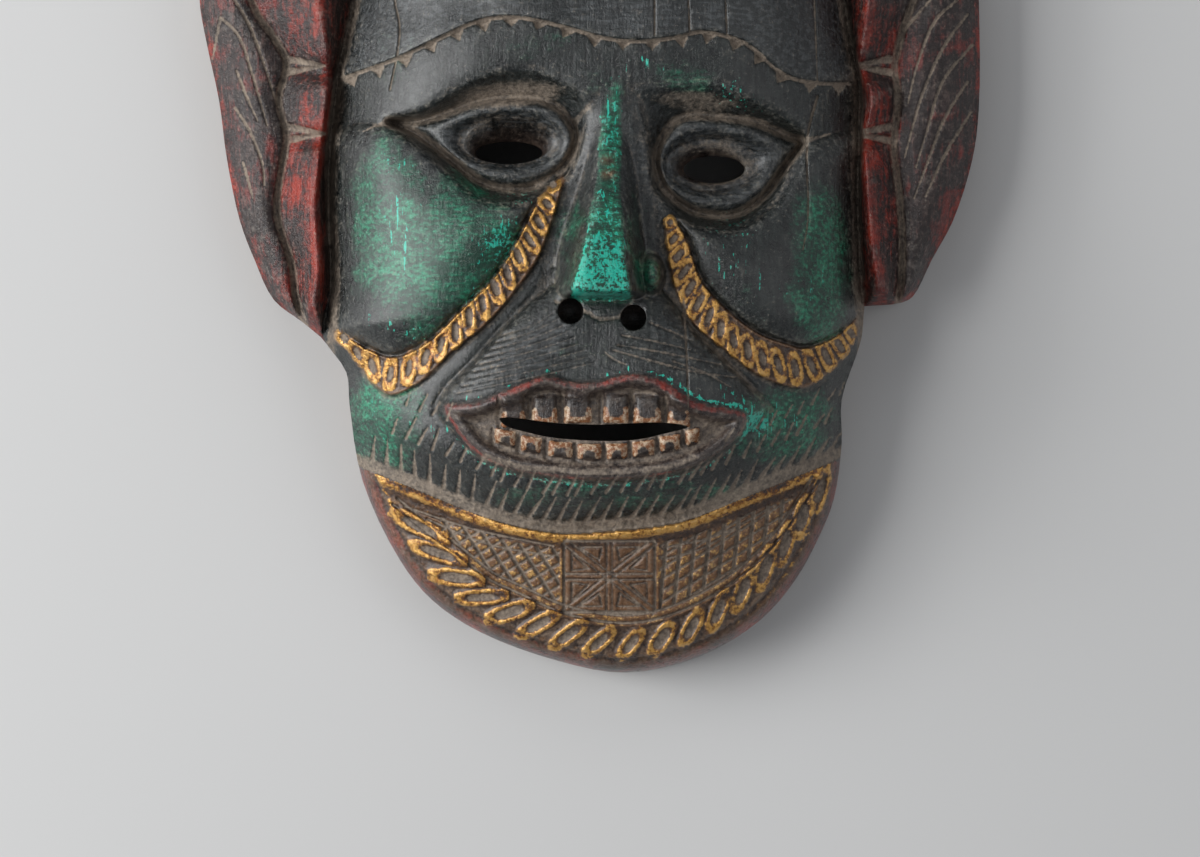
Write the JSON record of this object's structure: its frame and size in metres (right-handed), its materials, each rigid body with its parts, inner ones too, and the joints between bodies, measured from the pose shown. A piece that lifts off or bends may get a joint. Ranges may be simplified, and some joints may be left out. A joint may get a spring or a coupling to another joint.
{
  "type": "carved wooden dance mask",
  "caption": "Hollow carved wooden face mask with pierced eyes and mouth, broad lobed ears and a half-round beard plate, painted dark green, red and gold.",
  "frame": {"origin": "centre of the outline's box on the flat back rim", "axes": "+Y towards the crown, +X towards the wearer's left ear, +Z the way the face looks"},
  "size_m": [0.2406, 0.2854, 0.0783],
  "materials": {
    "painted_wood": "worn green, red and gold paint over dark wood, dusty in the grooves"
  },
  "bodies": {
    "root": {"carved_mask": "painted_wood"}
  },
  "joints": []
}
